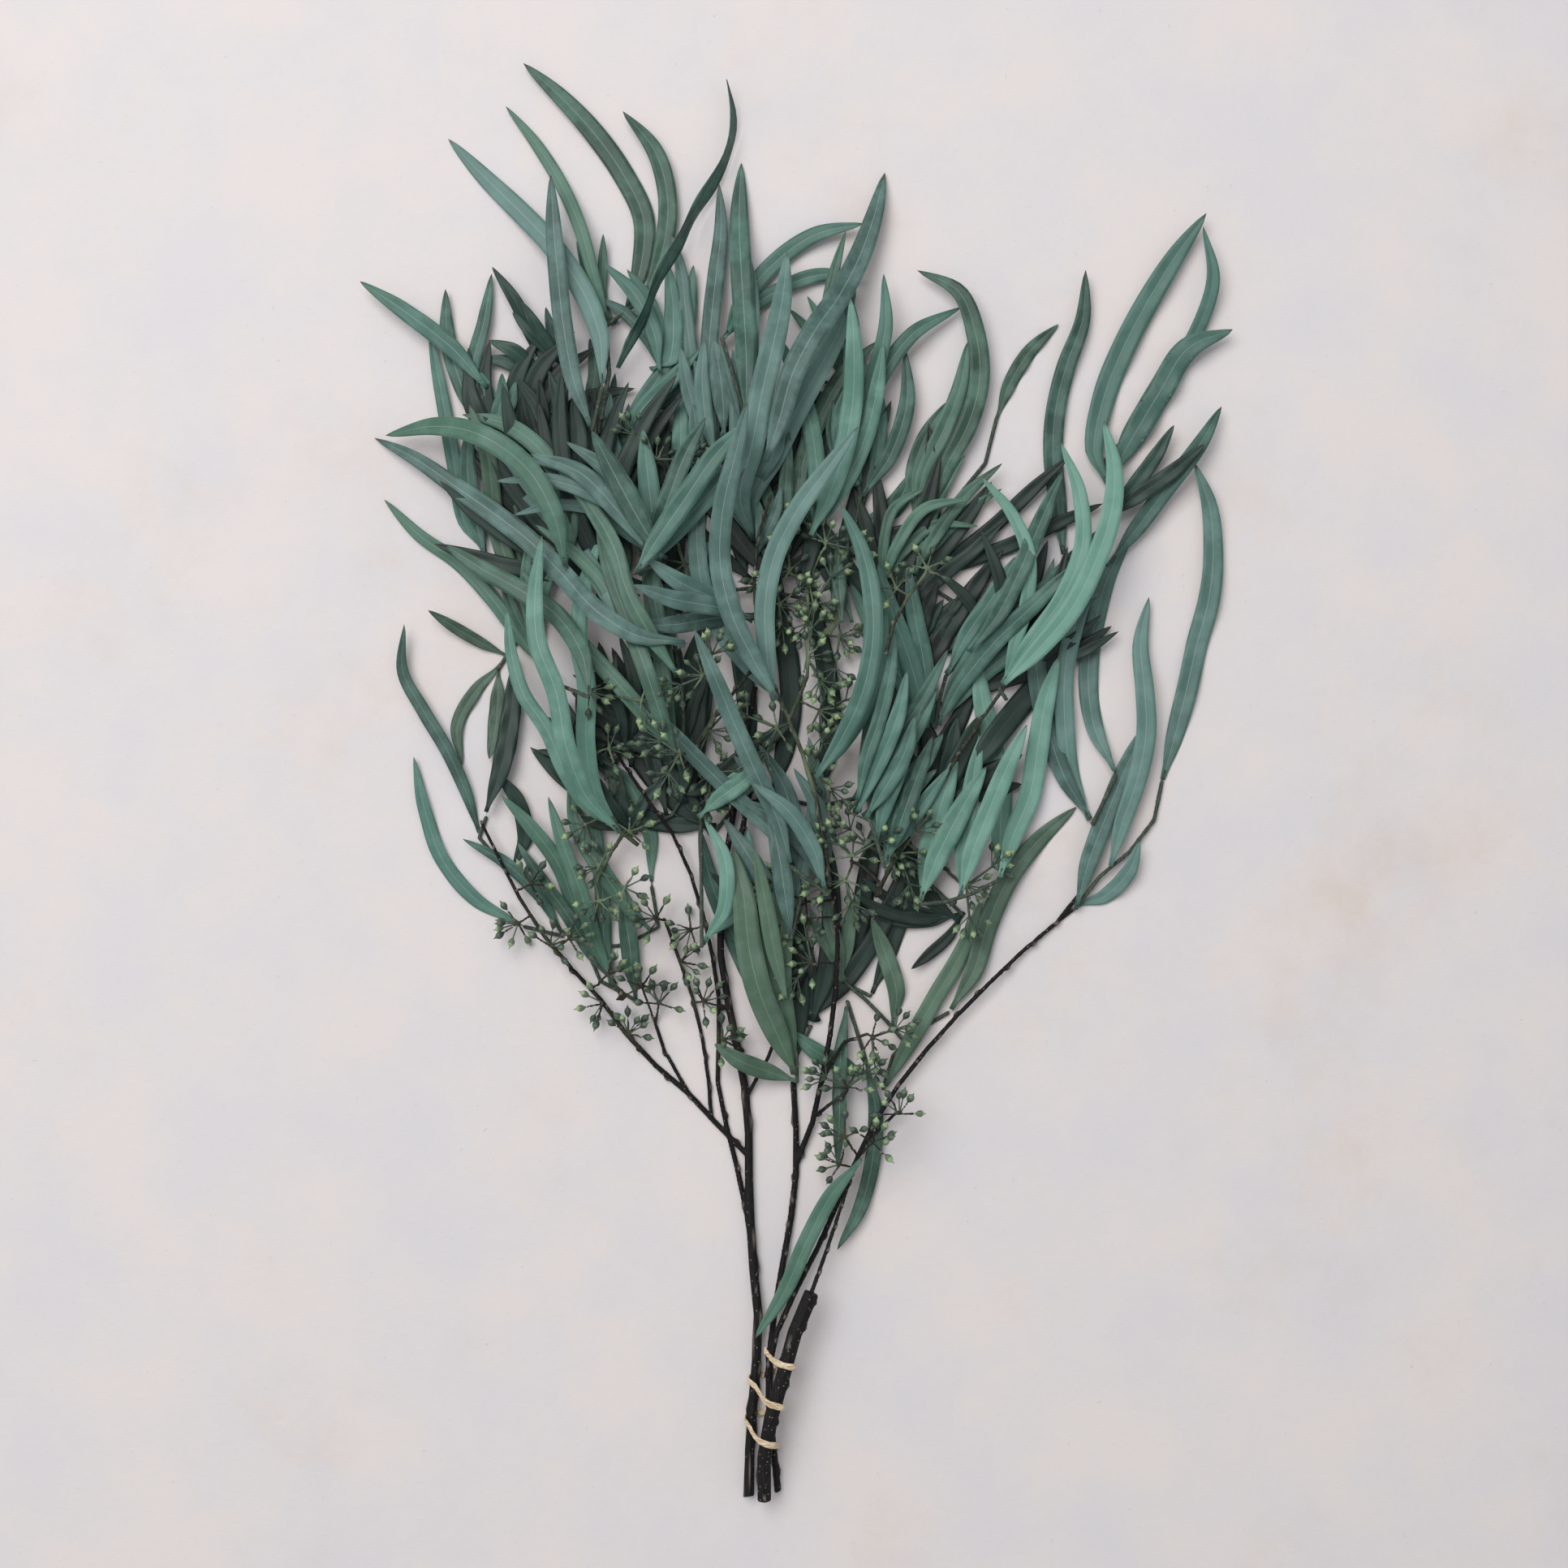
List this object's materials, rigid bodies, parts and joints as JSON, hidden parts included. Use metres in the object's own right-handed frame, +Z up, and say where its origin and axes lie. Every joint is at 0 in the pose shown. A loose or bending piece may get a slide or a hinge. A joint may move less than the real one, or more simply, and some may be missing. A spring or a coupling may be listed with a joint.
{
  "type": "eucalyptus branch",
  "caption": "Tied bunch of seeded willow eucalyptus lying flat: dark stems bound with a flat tie, long narrow leaves fanning out, and clusters of pointed green buds.",
  "frame": {"origin": "on the surface below the middle of the bunch's box", "axes": "+Z up from the surface the bunch lies on, +Y from the cut stem ends towards the leaf tips, +X to the right seen from above"},
  "size_m": [0.435, 0.7166, 0.0507],
  "materials": {
    "bark": "dark brown bark with pale pores",
    "dark": "matt dark slate-green eucalyptus leaf",
    "fruiting": "green-brown twig with green pointed buds",
    "green": "matt mid-green eucalyptus leaf",
    "mint": "pale grey-green eucalyptus leaf with heavy bloom",
    "olive": "matt olive underside of a eucalyptus leaf",
    "slate": "matt blue-grey waxy eucalyptus leaf",
    "teal": "matt teal-green eucalyptus leaf",
    "tie": "natural pale brown flat tie"
  },
  "bodies": {
    "root": {"leaves_far_left": "teal", "leaves_upper_left": "dark", "leaves_left_shade": "dark", "leaves_left_outward": "olive", "leaves_low_left": "dark", "leaves_low_left_tips": "teal", "leaves_low_centre_left": "green", "leaves_middle_shade": "dark", "leaves_centre_under": "dark", "leaves_lower_centre": "dark", "leaves_middle_under": "dark", "leaves_lower_stem": "green", "leaves_lower_right": "olive", "leaves_right_shade": "dark", "stem_left": "bark", "stem_middle": "bark", "stem_right": "bark", "stem_cut_thick": "bark", "twig_bare_cut": "bark", "leaves_lower_fold": "olive", "leaf_lower_long": "green", "buds_left": "fruiting", "buds_right_low": "fruiting", "leaves_left_fan": "green", "leaves_left_inner": "green", "leaves_left_shoulder": "slate", "leaf_left_slate_long": "slate", "leaf_left_arch": "green", "leaf_left_top": "mint", "leaves_top_left_spray": "green", "leaves_top_left_pair": "slate", "leaves_top_inner": "teal", "leaf_top_edge_on": "dark", "leaves_top_centre_left": "slate", "leaves_top_centre": "teal", "leaves_top_centre_right": "green", "leaves_centre_stack": "slate", "leaves_right_inner": "teal", "leaves_right_shoulder": "green", "leaves_right_edge": "slate", "leaves_right_pair": "slate", "leaves_upper_right": "dark", "leaves_right_lower_fan": "mint", "leaves_right_middle": "dark", "leaves_right_parallel": "teal", "leaves_right_bright": "mint", "leaves_right_arches": "green", "leaves_centre_lower_fan": "teal", "leaves_centre_pair": "slate", "buds_centre": "fruiting", "buds_right": "fruiting", "leaf_centre_right_top": "teal", "leaves_across": "slate", "leaves_left_cross": "teal", "leaves_centre_low": "mint", "leaves_centre_cross": "slate", "leaf_centre_top": "slate", "leaf_top_diagonal": "slate", "leaf_top_bright": "mint", "tie": "tie"}
  },
  "joints": []
}
